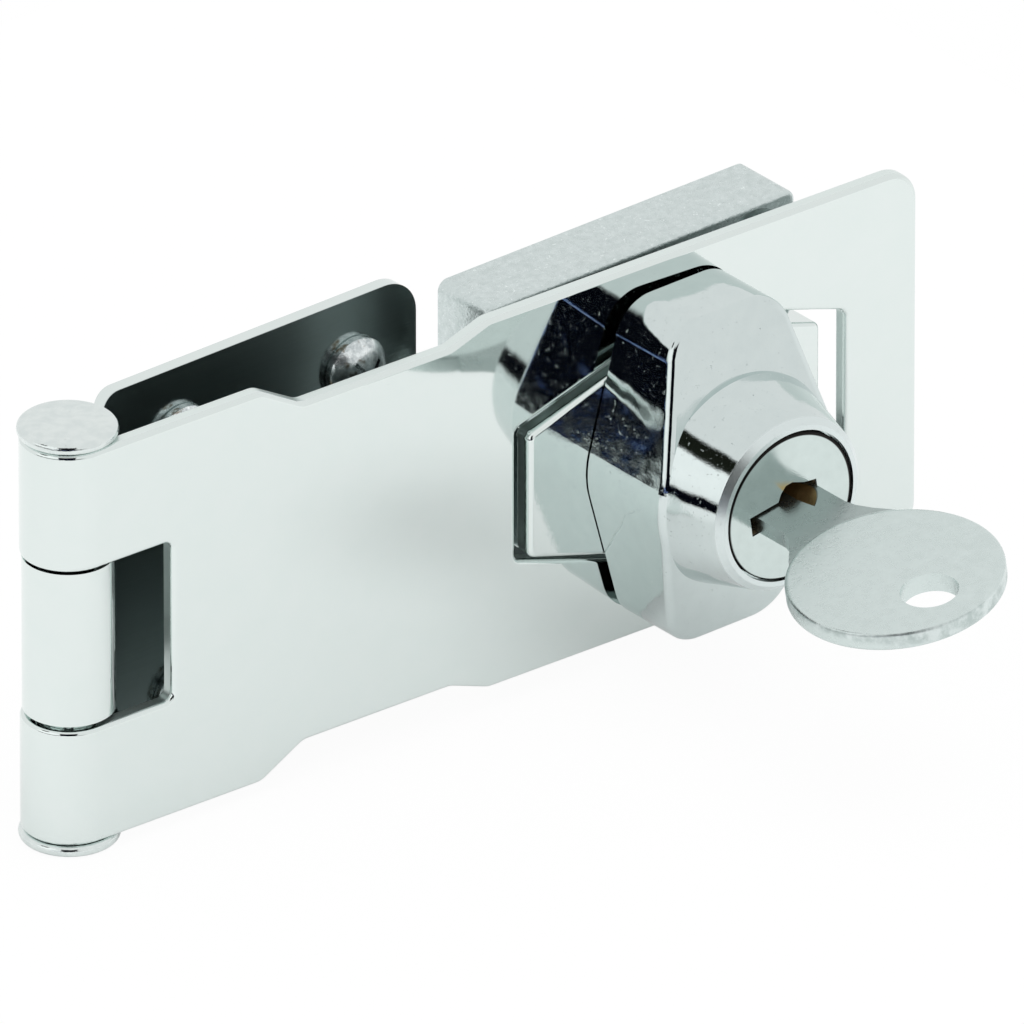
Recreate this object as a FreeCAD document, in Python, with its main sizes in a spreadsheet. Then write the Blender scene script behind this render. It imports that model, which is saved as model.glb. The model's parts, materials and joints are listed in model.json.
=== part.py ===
"""Keyed twist-knob hasp lock: hinge, slotted hasp, staple block with its post, and locking knob.

Every flat piece is drawn as seen from the front. In a piece's own frame x runs from the hinge to the
free end, y runs up and z comes forward from the mounting plane; its Placement then stands it upright,
so the finished part has +Z up, fronts facing -Y and its origin on the mounting plane, in the middle
of the fixed leaf's four screws.
"""
import FreeCAD
import Part
import math
import os
import Sketcher
from FreeCAD import Placement, Rotation, Vector

doc = FreeCAD.newDocument("HaspLock")
dims = doc.addObject("Spreadsheet::Sheet", "dims")
row = 0


def cell(alias, value, note):
    """Keep one driving dimension in the sheet, in millimetres, degrees or a count."""
    global row
    row += 1
    dims.set(f"A{row}", note)
    dims.set(f"B{row}", str(value))
    dims.setAlias(f"B{row}", alias)


# Hinge
cell("pin_radius", 2.95, "hinge pin")
cell("knuckle_clearance", 0.05, "between the pin and the bores of the knuckles")
cell("fixed_sheet", 1.4, "sheet of the fixed leaf")
cell("hasp_sheet", 1.6, "sheet of the hasp leaf")
cell("leaf_width", 41.3, "hasp leaf at the hinge, which is also the barrel's length")
cell("window_above", 8.3, "middle of the barrel to the upper side of the opening for the middle knuckle")
cell("window_below", 8.55, "middle of the barrel to the lower side of that opening")
cell("window_reach", 8.7, "barrel axis to the far side of that opening")
cell("knuckle_gap", 0.25, "end gap above and below the middle knuckle")
cell("cap_radius", 4.8, "caps on the pin's ends")
cell("cap_thick", 1.1, "caps on the pin's ends")
cell("cap_edge", 0.5, "rounding of the caps")
cell("cap_clearance", 0.06, "between a cap and the barrel")
cell("spigot_radius", 1.9, "riveted end of the pin inside the upper cap")
cell("roll_angle", 305, "how far each sheet is rolled around the pin, in degrees")

# Fixed leaf
cell("fixed_width", 42.0, "fixed leaf")
cell("fixed_reach", 44.5, "barrel axis to the far edge of the fixed leaf")
cell("fixed_relief", 6.7, "barrel axis to the near edge of the fixed leaf")
cell("fixed_corner", 3.8, "far corners of the fixed leaf")
cell("screw_near", 15.9, "barrel axis to the nearer screws")
cell("screw_pitch_along", 20.9, "from the nearer to the farther screws")
cell("screw_pitch_up", 27.2, "from the lower to the upper screws")
cell("screw_hole", 2.25, "screw holes in the fixed leaf, radius")
cell("screw_shank", 2.1, "leaf screws, radius")
cell("screw_length", 9.5, "leaf screws under the head")
cell("screw_head", 3.4, "leaf screw heads, radius")
cell("screw_dome", 2.5, "height of a leaf screw's head")

# Hasp leaf
cell("free_reach", 29.3, "knob's axis to the free end")
cell("waist_start", 19.1, "where the leaf starts to narrow")
cell("waist_full", 24.0, "where it has narrowed")
cell("waist_width", 35.8, "its width there")
cell("flare_start", 41.3, "where it starts to widen")
cell("flare_full", 45.8, "where it has widened")
cell("flare_width", 39.0, "its width there")
cell("hasp_corner", 3.4, "corners of the free end")
cell("hasp_edge", 0.45, "rounding of the front edges")
cell("hasp_tilt", 2.3, "how far the closed leaf stands off on its play, in degrees")
cell("slot_shift", 1.3, "how far the slot's middle lies beyond the knob's axis")
cell("slot_room", 3.6, "how much longer the slot is than the post")
cell("slot_gap", 0.9, "how much higher it is")
cell("slot_slope", 0.312, "rise of the slot's, the post's and the knob's slanted sides")

# Staple
cell("leaf_gap", 3.8, "between the fixed leaf's far edge and the block")
cell("staple_pitch", 27.2, "between the staple's mounting holes, both ways")
cell("block_side", 5.2, "middle of those holes to the block's ends")
cell("block_brim", 4.7, "middle of those holes to the block's top and bottom")
cell("block_depth", 7.35, "mounting plane to the block's face")
cell("block_corner", 1.1, "upright corners of the block")
cell("block_edge", 0.6, "rounding of the block's face")
cell("post_step", 1.1, "end of the block to the end of the post on it")
cell("post_room", 7.15, "middle of the mounting holes to the level of the post's corners")
cell("post_depth", 12.2, "mounting plane to the post's face")
cell("post_corner", 0.9, "upright corners of the post")
cell("post_edge", 0.45, "rounding of the post's face")
cell("staple_hole", 2.2, "mounting holes of the staple, radius")
cell("staple_sink", 4.2, "countersinks of those holes, radius")
cell("stem_radius", 5.0, "stem of the knob's spindle")
cell("stem_clearance", 0.05, "between the stem and its bore")
cell("pocket_radius", 9.0, "pocket behind the block for the washers and the clip")
cell("pocket_depth", 4.0, "pocket behind the block for the washers and the clip")
cell("hub_radius", 8.4, "hub under the knob")
cell("hub_clearance", 0.1, "between the hub and its seat in the post")
cell("seat_floor", 8.6, "mounting plane to the floor of that seat")
cell("notch_reach", 10.3, "knob axis to the bottom of a bolt notch")

# Knob
cell("knob_clearance", 0.14, "between the knob and the post's face")
cell("knob_room", 5.1, "how much shorter the knob is than the slot that it passes")
cell("knob_gap", 0.4, "between the slot's sides and the knob on its way through")
cell("knob_depth", 10.86, "knob's thickness beside the nose")
cell("knob_end_depth", 7.36, "knob's thickness at its ends")
cell("knob_slope_start", 3.0, "where the front starts to slope, from the axis")
cell("knob_corner", 4.3, "upright corners at the knob's ends")
cell("knob_side", 9.0, "upright corners at the knob's sides")
cell("knob_crown", 9.0, "rounding between the flat and the slopes of the knob's front")
cell("knob_edge", 0.9, "rounding of the knob's front")
cell("nose_base", 10.6, "nose, radius at its foot")
cell("nose_foot", 9.56, "height of the nose's foot above the knob's back")
cell("nose_tip", 8.75, "nose, radius at its rim")
cell("nose_height", 16.66, "height of the rim above the knob's back")
cell("nose_edge", 0.6, "rounding of the rim")

# Lock core
cell("key_angle", 8.7, "how far the keyway stands off the level in the photographed pose, in degrees")
cell("face_radius", 7.45, "plug's face")
cell("face_clearance", 0.2, "ring gap around the plug's face")
cell("face_thick", 1.5, "flange behind the plug's face")
cell("plug_radius", 6.2, "plug's body")
cell("plug_clearance", 0.05, "between the plug and its bore")
cell("plug_length", 12.0, "plug's body behind the flange")
cell("web_thick", 1.0, "wall of the knob behind the plug")
cell("tail_radius", 3.0, "plug's tail through that wall")
cell("tail_clearance", 0.1, "around the tail")
cell("tail_length", 2.25, "tail behind the plug's body")
cell("clip_groove", 2.3, "bottom of the clip's groove, radius")
cell("clip_thick", 0.55, "retaining clip")
cell("clip_radius", 4.2, "retaining clip")
cell("cavity_radius", 4.6, "hollow behind that wall")
cell("wafer_count", 5, "wafers")
cell("wafer_pitch", 1.9, "between wafers")
cell("wafer_first", 3.3, "plug's front shoulder to the middle of the first wafer")
cell("wafer_thick", 0.95, "wafer")
cell("wafer_reach", 5.85, "plug axis to a wafer's ends")
cell("wafer_half", 2.55, "half of a wafer's width")
cell("wafer_clearance", 0.05, "around a wafer in its slot")
cell("wafer_throw", 0.8, "how far a wafer stands out once the key is gone")
cell("wafer_ear", 1.0, "ear of a wafer that its spring pushes")
cell("spring_radius", 0.42, "wafer springs")
cell("spring_length", 2.7, "wafer springs")
cell("groove_reach", 7.1, "plug axis to the bottom of the wafer grooves in the nose")

# Bolt work
cell("flange_thick", 1.3, "flange of the spindle that closes the bolt's channel")
cell("bolt_thick", 1.8, "locking bolt")
cell("bolt_width", 6.0, "locking bolt")
cell("bolt_clearance", 0.1, "around the locking bolt")
cell("bolt_throw", 2.0, "travel of the locking bolt and radius of the crank pin")
cell("crank_radius", 0.65, "crank pin")
cell("cam_radius", 3.4, "crank disc")
cell("cam_thick", 1.2, "crank disc")
cell("cam_hole", 0.95, "screw hole through the crank disc and into the tail, radius")
cell("cam_head", 1.3, "countersink of that hole, radius")
cell("thread_depth", 2.2, "depth of that hole in the tail")
cell("small_screw", 0.75, "spindle screws, radius")
cell("small_head", 0.6, "how far the heads of the spindle screws stand out around them")
cell("screw_play", 0.06, "around the small screws")
cell("screw_bite", 2.4, "spindle screws inside the hub")
cell("stem_end", 1.2, "mounting plane to the end of the stem")
cell("ring_thick", 0.7, "retaining clip and washer on the stem")
cell("ring_clearance", 0.05, "between the clip, the washers and the pocket's floor")

# Key
cell("key_width", 7.2, "blade")
cell("key_aside", 0.5, "how far the blade's middle lies aside of the plug's axis")
cell("key_thick", 2.0, "bow")
cell("blade_thick", 1.7, "blade")
cell("shoulder_start", 4.0, "plug's face to where the blade widens into the bow")
cell("shoulder_spread", 2.8, "how far it widens on the left")
cell("groove_side", 0.3, "steep side of the blade's groove, from the plug's axis")
cell("groove_width", 2.5, "groove of the blade")
cell("groove_depth", 0.7, "groove of the blade")
cell("cutter_radius", 6.0, "end of that groove, as the cutter left it")
cell("key_clearance", 0.12, "around the blade in the keyway")
cell("keyway_room", 0.75, "free end of the keyway beside the blade")
cell("blade_inside", 13.0, "blade inside the plug")
cell("bow_radius", 10.4, "bow")
cell("bow_reach", 17.0, "plug's face to the middle of the bow")
cell("bow_offset", 1.5, "how far the bow's middle lies aside of the blade's")
cell("ring_hole", 2.8, "hole for a key ring, radius")
cell("ring_wall", 2.6, "bow left between that hole and the bow's edge")
doc.recompute()

AXIS = "(dims.pin_radius + dims.knuckle_clearance + dims.fixed_sheet)"
BORE = "(dims.pin_radius + dims.knuckle_clearance)"
BARREL_HALF = "(dims.leaf_width / 2)"
SCREW_MIDDLE = "(dims.screw_near + dims.screw_pitch_along / 2)"
HASP_FRONT = f"({AXIS} + {BORE} + dims.hasp_sheet)"
BLOCK_LENGTH = "(dims.staple_pitch + 2 * dims.block_side)"
BLOCK_HEIGHT = "(dims.staple_pitch + 2 * dims.block_brim)"
POST_LENGTH = f"({BLOCK_LENGTH} - 2 * dims.post_step)"
SLOT_LENGTH = f"({POST_LENGTH} + dims.slot_room)"
POST_END = "(dims.staple_pitch - 2 * dims.post_room)"
SLOT_END = f"({POST_END} + dims.slot_gap)"
KNOB_LENGTH = f"({SLOT_LENGTH} - dims.knob_room)"
KNOB_END = f"({SLOT_END} - 2 * dims.knob_gap)"
STAPLE = f"(dims.fixed_reach + dims.leaf_gap + {BLOCK_LENGTH} / 2)"
SLOT = f"({STAPLE} + dims.slot_shift)"
FREE_END = f"({STAPLE} + dims.free_reach)"
KNOB_BACK = "(dims.post_depth + dims.knob_clearance)"
FACE = f"({KNOB_BACK} + dims.nose_height)"
SHOULDER = f"({FACE} - dims.face_thick)"
PLUG_BACK = f"({SHOULDER} - dims.plug_length)"
WEB_FRONT = f"({PLUG_BACK} - dims.plug_clearance)"
WEB_BACK = f"({WEB_FRONT} - dims.web_thick)"
TAIL_END = f"({PLUG_BACK} - dims.tail_length)"
FLANGE_BACK = "(dims.seat_floor + dims.hub_clearance)"
FLANGE_FRONT = f"({FLANGE_BACK} + dims.flange_thick)"
BOLT_BACK = f"({FLANGE_FRONT} + dims.bolt_clearance)"
CHANNEL_FRONT = f"({BOLT_BACK} + dims.bolt_thick + dims.bolt_clearance)"
CAM_BACK = f"({TAIL_END} - dims.cam_thick)"


def value(alias):
    """Read one driving dimension back from the sheet."""
    return float(dims.get(alias))


def worked_out(expression):
    """Work out one of the expressions above for a comparison with the model."""
    return float(dims.evalExpression(expression))


def stand_up(body, along, turn=0.0):
    """Stand a front-view frame upright, its origin `along` millimetres beyond the barrel axis."""
    body.Placement = Placement(Vector(), Rotation(Vector(1, 0, 0), 90) * Rotation(Vector(0, 0, 1), turn))
    body.setExpression("Placement.Base.x", f"{along} - {SCREW_MIDDLE}")


def new_body(label):
    body = doc.addObject("PartDesign::Body", label)
    body.Label = label
    return body


def plane(body, role):
    return next(item for item in body.Origin.OriginFeatures if item.Role == role)


def sketch(body, name, role="XY_Plane", lift=None, rise=None):
    """Start a sketch on one of the body's own planes, `lift` off it and `rise` up within it."""
    item = body.newObject("Sketcher::SketchObject", name)
    item.AttachmentSupport = (plane(body, role), [""])
    item.MapMode = "FlatFace"
    if lift:
        item.setExpression("AttachmentOffset.Base.z", lift)
    if rise:
        item.setExpression("AttachmentOffset.Base.y", rise)
    return item


def pin_down(item, geometry, point, x, y):
    """Hold a point of the sketch at the distances x and y, given as sheet expressions."""
    for kind, size, axis in (("DistanceX", x, -2), ("DistanceY", y, -1)):
        if size == "0":
            item.addConstraint(Sketcher.Constraint("PointOnObject", geometry, point, axis))
            continue
        index = item.addConstraint(Sketcher.Constraint(kind, -1, 1, geometry, point, 1.0))
        item.setExpression(f"Constraints[{index}]", size)


def outline(item, corners):
    """Draw a closed outline through corners given as sheet expressions."""
    first = item.GeometryCount
    count = len(corners)
    around = [Vector(20 * math.cos(2 * math.pi * i / count), 20 * math.sin(2 * math.pi * i / count), 0)
              for i in range(count)]
    for i in range(count):
        item.addGeometry(Part.LineSegment(around[i], around[(i + 1) % count]), False)
    for i in range(count):
        following = first + (i + 1) % count
        item.addConstraint(Sketcher.Constraint("Coincident", first + i, 2, following, 1))
    for i, (x, y) in enumerate(corners):
        pin_down(item, first + i, 1, x, y)
    return item


def box_outline(item, left, right, low, high):
    return outline(item, [(left, low), (right, low), (right, high), (left, high)])


def circle(item, radius, x="0", y="0"):
    index = item.addGeometry(Part.Circle(Vector(0, 0, 0), Vector(0, 0, 1), 1.0), False)
    pin_down(item, index, 3, x, y)
    size = item.addConstraint(Sketcher.Constraint("Radius", index, 1.0))
    item.setExpression(f"Constraints[{size}]", radius)
    return item


def extrude(body, kind, name, profile, length, symmetric=False, reverse=False):
    feature = body.newObject(kind, name)
    feature.Profile = profile
    feature.setExpression("Length", length)
    if symmetric:
        feature.SideType = "Symmetric"
    feature.Reversed = reverse
    profile.Visibility = False
    return feature


def pad(body, name, profile, length, symmetric=False, reverse=False):
    return extrude(body, "PartDesign::Pad", name, profile, length, symmetric, reverse)


def pocket(body, name, profile, length, symmetric=False, reverse=False):
    return extrude(body, "PartDesign::Pocket", name, profile, length, symmetric, reverse)


def turn(body, name, profile, axis="V_Axis", angle="360", reverse=False):
    feature = body.newObject("PartDesign::Revolution", name)
    feature.Profile = profile
    feature.ReferenceAxis = (profile, [axis])
    feature.setExpression("Angle", angle)
    feature.Reversed = reverse
    return feature


def turned(label, corners):
    """A round piece: its half section, as corners (radius, height), turned about its own z axis."""
    body = new_body(label)
    turn(body, label + "_turned", outline(sketch(body, label + "_section", "XZ_Plane"), corners))
    return body


def soften(body, name, base, radius, wanted):
    """Round the edges of a feature for which `wanted` holds."""
    doc.recompute()
    names = [f"Edge{i}" for i, edge in enumerate(base.Shape.Edges, 1) if wanted(edge)]
    fillet = body.newObject("PartDesign::Fillet", name)
    fillet.Base = (base, names)
    fillet.setExpression("Radius", radius)
    return fillet


def countersink(body, name, height, radius, size):
    """Widen the round holes of one radius that open at a height above the mounting plane."""
    doc.recompute()
    drilled = body.Tip
    mouths = [f"Edge{i}" for i, e in enumerate(drilled.Shape.Edges, 1) if level_at(e, height)
              and e.Curve.TypeId == "Part::GeomCircle" and abs(e.Curve.Radius - radius) < 0.01]
    sink = body.newObject("PartDesign::Chamfer", name)
    sink.Base = (drilled, mouths)
    sink.setExpression("Size", size)


def upright(edge):
    """Whether an edge runs straight forward, as the corners of a front view do."""
    if edge.Curve.TypeId != "Part::GeomLine":
        return False
    return abs(edge.Curve.Direction.z) > 0.999


def level_at(edge, height):
    """Whether an edge lies flat at one height above the mounting plane."""
    box = edge.BoundBox
    return abs(box.ZMin - height) < 0.01 and abs(box.ZMax - height) < 0.01


def start_of(edge):
    return edge.Vertexes[0].Point


def fixed_leaf():
    """Sheet leaf with the middle knuckle rolled from its tongue, and its four screw holes."""
    body = new_body("fixed_leaf")
    stand_up(body, "0")
    half = "dims.fixed_width / 2"
    tongue = "(dims.window_above - dims.knuckle_gap)"
    sheet = outline(sketch(body, "leaf_outline"), [
        ("dims.fixed_reach", half), ("dims.fixed_relief", half), ("dims.fixed_relief", tongue),
        ("0", tongue), ("0", f"-{tongue}"), ("dims.fixed_relief", f"-{tongue}"),
        ("dims.fixed_relief", f"-{half}"), ("dims.fixed_reach", f"-{half}")])
    flat = pad(body, "leaf_sheet", sheet, "dims.fixed_sheet")
    far = value("fixed_reach")
    high = value("fixed_width") / 2
    corners = soften(body, "far_corners", flat, "dims.fixed_corner",
                     lambda e: upright(e) and abs(start_of(e).x - far) < 0.01)
    near = soften(body, "near_corners", corners, "dims.fixed_corner / 2",
                  lambda e: upright(e) and start_of(e).x < far - 5 and abs(abs(start_of(e).y) - high) < 0.01)
    section = sketch(body, "roll_section", "YZ_Plane", rise=AXIS)
    box_outline(section, f"-{tongue}", tongue, f"-{AXIS}", f"-{BORE}")
    turn(body, "knuckle", section, "H_Axis", "dims.roll_angle")
    holes = sketch(body, "screw_holes", lift="dims.fixed_sheet")
    for along in ("dims.screw_near", "(dims.screw_near + dims.screw_pitch_along)"):
        for side in ("", "-"):
            circle(holes, "dims.screw_hole", along, f"{side}dims.screw_pitch_up / 2")
    pocket(body, "screw_holes_cut", holes, "dims.fixed_sheet")
    return body


def leaf_screws():
    """Four round-head screws; each is a turned body, and the four share one compound."""
    screws = []
    for i, along in enumerate(("0", "dims.screw_pitch_along")):
        for j, side in enumerate(("", "-")):
            name = f"leaf_screw_{2 * i + j + 1}"
            parts = []
            head = doc.addObject("Part::Sphere", name + "_dome")
            ball = "((dims.screw_head^2 + dims.screw_dome^2) / (2 * dims.screw_dome))"
            head.setExpression("Radius", ball)
            head.setExpression("Placement.Base.z", f"dims.fixed_sheet + dims.screw_dome - {ball}")
            keep = doc.addObject("Part::Cylinder", name + "_dome_limit")
            keep.setExpression("Radius", "dims.screw_head + 1")
            keep.setExpression("Height", "dims.screw_dome + 1")
            keep.setExpression("Placement.Base.z", "dims.fixed_sheet")
            dome = doc.addObject("Part::Common", name + "_head")
            dome.Base = head
            dome.Tool = keep
            shank = doc.addObject("Part::Cylinder", name + "_shank")
            shank.setExpression("Radius", "dims.screw_shank")
            shank.setExpression("Height", "dims.screw_length * 0.75 + 0.1")
            shank.setExpression("Placement.Base.z", "dims.fixed_sheet - dims.screw_length * 0.75")
            point = doc.addObject("Part::Cone", name + "_point")
            point.setExpression("Radius2", "dims.screw_shank")
            point.setExpression("Radius1", "dims.screw_shank / 8")
            point.setExpression("Height", "dims.screw_length / 4")
            point.setExpression("Placement.Base.z", "dims.fixed_sheet - dims.screw_length")
            parts += [dome, shank, point]
            whole = doc.addObject("Part::MultiFuse", name + "_whole")
            whole.Shapes = parts
            slots = []
            for turned_by in (0, 90):
                slot = doc.addObject("Part::Box", f"{name}_recess_{turned_by}")
                slot.setExpression("Length", "dims.screw_head * 1.1")
                slot.setExpression("Width", "dims.screw_head / 4")
                slot.setExpression("Height", "dims.screw_dome")
                wide, thin = ("x", "y") if turned_by == 0 else ("y", "x")
                slot.Placement.Rotation = Rotation(Vector(0, 0, 1), turned_by)
                flip = "-" if turned_by == 0 else ""
                slot.setExpression(f"Placement.Base.{wide}", "-dims.screw_head * 0.55")
                slot.setExpression(f"Placement.Base.{thin}", f"{flip}dims.screw_head / 8")
                slot.setExpression("Placement.Base.z", "dims.fixed_sheet + dims.screw_dome * 0.45")
                slots.append(slot)
            recess = doc.addObject("Part::MultiFuse", name + "_recess")
            recess.Shapes = slots
            screw = doc.addObject("Part::Cut", name)
            screw.Base = whole
            screw.Tool = recess
            screw.setExpression("Placement.Base.x", f"dims.screw_near + {along}")
            screw.setExpression("Placement.Base.y", f"{side}dims.screw_pitch_up / 2")
            screws.append(screw)
    group = doc.addObject("Part::Compound", "leaf_screws")
    group.Label = "leaf_screws"
    group.Links = screws
    stand_up(group, "0")
    return group


def on_barrel(body):
    """Put a body with its z axis on the barrel's axis, its origin in the middle of the barrel."""
    body.setExpression("Placement.Base.x", f"-{SCREW_MIDDLE}")
    body.setExpression("Placement.Base.y", f"-{AXIS}")


def rim_of(radius):
    return lambda e: e.Curve.TypeId == "Part::GeomCircle" and abs(e.Curve.Radius - value(radius)) < 0.01


def hinge_pin():
    """Pin with a flat rounded head below and a riveted end above."""
    under, over = f"(-{BARREL_HALF} - dims.cap_clearance)", f"({BARREL_HALF} + dims.cap_clearance)"
    body = turned("hinge_pin", [
        ("0", f"{under} - dims.cap_thick"), ("dims.cap_radius", f"{under} - dims.cap_thick"),
        ("dims.cap_radius", under), ("dims.pin_radius", under), ("dims.pin_radius", over),
        ("dims.spigot_radius", over), ("dims.spigot_radius", f"{over} + dims.cap_thick * 0.6"),
        ("0", f"{over} + dims.cap_thick * 0.6")])
    soften(body, "head_edges", body.Tip, "dims.cap_edge", rim_of("cap_radius"))
    on_barrel(body)
    return body


def hinge_cap():
    """Upper cap, riveted onto the pin."""
    over, top = f"({BARREL_HALF} + dims.cap_clearance)", f"({BARREL_HALF} + dims.cap_clearance + dims.cap_thick)"
    body = turned("hinge_cap", [
        ("0", f"{over} + dims.cap_thick * 0.6"), ("dims.spigot_radius", f"{over} + dims.cap_thick * 0.6"),
        ("dims.spigot_radius", over), ("dims.cap_radius", over), ("dims.cap_radius", top), ("0", top)])
    soften(body, "cap_edges", body.Tip, "dims.cap_edge", rim_of("cap_radius"))
    on_barrel(body)
    return body


def hasp_leaf():
    """Stamped leaf with two rolled knuckles, a waist, and the long six-sided slot."""
    body = new_body("hasp_leaf")
    back = f"({AXIS} + {BORE})"
    wide, waist, flare = "dims.leaf_width / 2", "dims.waist_width / 2", "dims.flare_width / 2"
    upper = [("dims.waist_start", wide), ("dims.waist_full", waist),
             ("dims.flare_start", waist), ("dims.flare_full", flare), (FREE_END, flare)]
    lower = [(x, f"-{y}") for x, y in reversed(upper)]
    sheet = sketch(body, "hasp_outline", lift=back)
    outline(sheet, [("0", f"-{wide}")] + [(x, f"-{y}") for x, y in upper] + upper[::-1] + [("0", wide)])
    flat = pad(body, "hasp_sheet", sheet, "dims.hasp_sheet")
    free = worked_out(FREE_END)
    ends = soften(body, "free_corners", flat, "dims.hasp_corner",
                  lambda e: upright(e) and abs(start_of(e).x - free) < 0.01)
    bends = soften(body, "step_corners", ends, "dims.hasp_corner * 0.6",
                   lambda e: upright(e) and 10 < start_of(e).x < free - 10)
    section = sketch(body, "roll_section", "YZ_Plane", rise=AXIS)
    box_outline(section, f"-{wide}", wide, BORE, f"{BORE} + dims.hasp_sheet")
    turn(body, "knuckles", section, "H_Axis", "dims.roll_angle", reverse=True)
    window = sketch(body, "window", lift=f"{HASP_FRONT} + 1")
    box_outline(window, "-dims.window_reach", "dims.window_reach", "-dims.window_below", "dims.window_above")
    opened = pocket(body, "window_cut", window, f"{HASP_FRONT} + 2")
    reach = value("window_reach")
    round_window = soften(body, "window_corners", opened, "dims.hasp_edge * 2",
                          lambda e: upright(e) and abs(start_of(e).x - reach) < 0.01)
    slot = sketch(body, "slot", lift=f"{HASP_FRONT} + 1")
    near, far = f"({SLOT} - {SLOT_LENGTH} / 2)", f"({SLOT} + {SLOT_LENGTH} / 2)"
    end = f"({SLOT_END} / 2)"
    middle = f"({SLOT_END} / 2 + dims.slot_slope * {SLOT_LENGTH} / 2)"
    outline(slot, [(near, f"-{end}"), (SLOT, f"-{middle}"), (far, f"-{end}"),
                   (far, end), (SLOT, middle), (near, end)])
    slotted = pocket(body, "slot_cut", slot, "dims.hasp_sheet + 2")
    first, last = worked_out(near), worked_out(far)
    round_slot = soften(body, "slot_corners", slotted, "dims.post_corner", lambda e: upright(e) and (
        abs(start_of(e).x - first) < 0.01 or abs(start_of(e).x - last) < 0.01))
    axis = value("pin_radius") + value("knuckle_clearance") + value("fixed_sheet")
    front = axis + value("pin_radius") + value("knuckle_clearance") + value("hasp_sheet")
    soften(body, "front_edges", round_slot, "dims.hasp_edge",
           lambda e: level_at(e, front) and start_of(e).x > 0.5)
    soften(body, "back_edges", body.Tip, "dims.hasp_edge * 0.6",
           lambda e: level_at(e, front - value("hasp_sheet")) and start_of(e).x > 0.5)
    hinge = Vector(-value("screw_near") - value("screw_pitch_along") / 2, -axis, 0)
    swing = Rotation(Vector(0, 0, 1), -value("hasp_tilt"))
    upright_again = Rotation(Vector(1, 0, 0), 90)
    body.Placement = Placement(hinge, swing * upright_again) * Placement(Vector(0, 0, -axis), Rotation())
    return body


def staple_base():
    """Cast block with the post, the spindle's bore, the hub's seat, bolt notches and screw holes."""
    body = new_body("staple_base")
    stand_up(body, STAPLE)
    long, high = f"({BLOCK_LENGTH} / 2)", f"({BLOCK_HEIGHT} / 2)"
    block = pad(body, "block", box_outline(sketch(body, "block_outline"), f"-{long}", long, f"-{high}", high),
                "dims.block_depth")
    corners = soften(body, "block_corners", block, "dims.block_corner", upright)
    depth = value("block_depth")
    soften(body, "block_edges", corners, "dims.block_edge", lambda e: level_at(e, depth))
    long, end = f"({POST_LENGTH} / 2)", f"({POST_END} / 2)"
    middle = f"({POST_END} / 2 + dims.slot_slope * {POST_LENGTH} / 2)"
    post = outline(sketch(body, "post_outline", lift="dims.block_depth - 0.5"), [
        (f"-{long}", f"-{end}"), ("0", f"-{middle}"), (long, f"-{end}"),
        (long, end), ("0", middle), (f"-{long}", end)])
    raised = pad(body, "post", post, "dims.post_depth - dims.block_depth + 0.5")
    reach = worked_out(long)
    rounded = soften(body, "post_corners", raised, "dims.post_corner",
                     lambda e: upright(e) and abs(abs(start_of(e).x) - reach) < 0.01)
    top = value("post_depth")
    soften(body, "post_edges", rounded, "dims.post_edge", lambda e: level_at(e, top))
    seat = circle(sketch(body, "hub_seat", lift="dims.post_depth"), "dims.hub_radius + dims.hub_clearance")
    pocket(body, "hub_seat_cut", seat, "dims.post_depth - dims.seat_floor")
    notch = sketch(body, "bolt_notches", lift="dims.post_depth")
    wide = "(dims.bolt_width / 2 + 2 * dims.bolt_clearance)"
    box_outline(notch, f"-{wide}", wide, "-dims.notch_reach", "dims.notch_reach")
    pocket(body, "notches_up_cut", notch, f"dims.post_depth - {FLANGE_FRONT} + dims.bolt_clearance")
    across = sketch(body, "bolt_notches_across", lift="dims.post_depth")
    box_outline(across, "-dims.notch_reach", "dims.notch_reach", f"-{wide}", wide)
    pocket(body, "notches_across_cut", across, f"dims.post_depth - {FLANGE_FRONT} + dims.bolt_clearance")
    bore = circle(sketch(body, "spindle_bore", lift="dims.post_depth"), "dims.stem_radius + dims.stem_clearance")
    pocket(body, "spindle_bore_cut", bore, "dims.post_depth")
    rear = circle(sketch(body, "rear_pocket", lift="dims.pocket_depth"), "dims.pocket_radius")
    pocket(body, "rear_pocket_cut", rear, "dims.pocket_depth")
    holes = sketch(body, "mounting_holes", lift="dims.block_depth")
    for across_side in ("", "-"):
        for up_side in ("", "-"):
            circle(holes, "dims.staple_hole", f"{across_side}dims.staple_pitch / 2",
                   f"{up_side}dims.staple_pitch / 2")
    pocket(body, "mounting_holes_cut", holes, "dims.block_depth")
    countersink(body, "countersinks", depth, value("staple_hole"), "dims.staple_sink - dims.staple_hole")
    return body


def core_grooves(body, name, from_height, depth):
    """Cut the four grooves that the wafers spring into, in line with the turned keyway."""
    for i, (x, y) in enumerate((("dims.groove_reach", "(dims.wafer_half + 0.15)"),
                                ("(dims.wafer_half + 0.15)", "dims.groove_reach"))):
        item = sketch(body, f"{name}_{i}", lift=from_height)
        item.AttachmentOffset = Placement(Vector(), Rotation(Vector(0, 0, 1), value("key_angle")))
        item.setExpression("AttachmentOffset.Base.z", from_height)
        box_outline(item, f"-{x}", x, f"-{y}", y)
        pocket(body, f"{name}_cut_{i}", item, depth)


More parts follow.
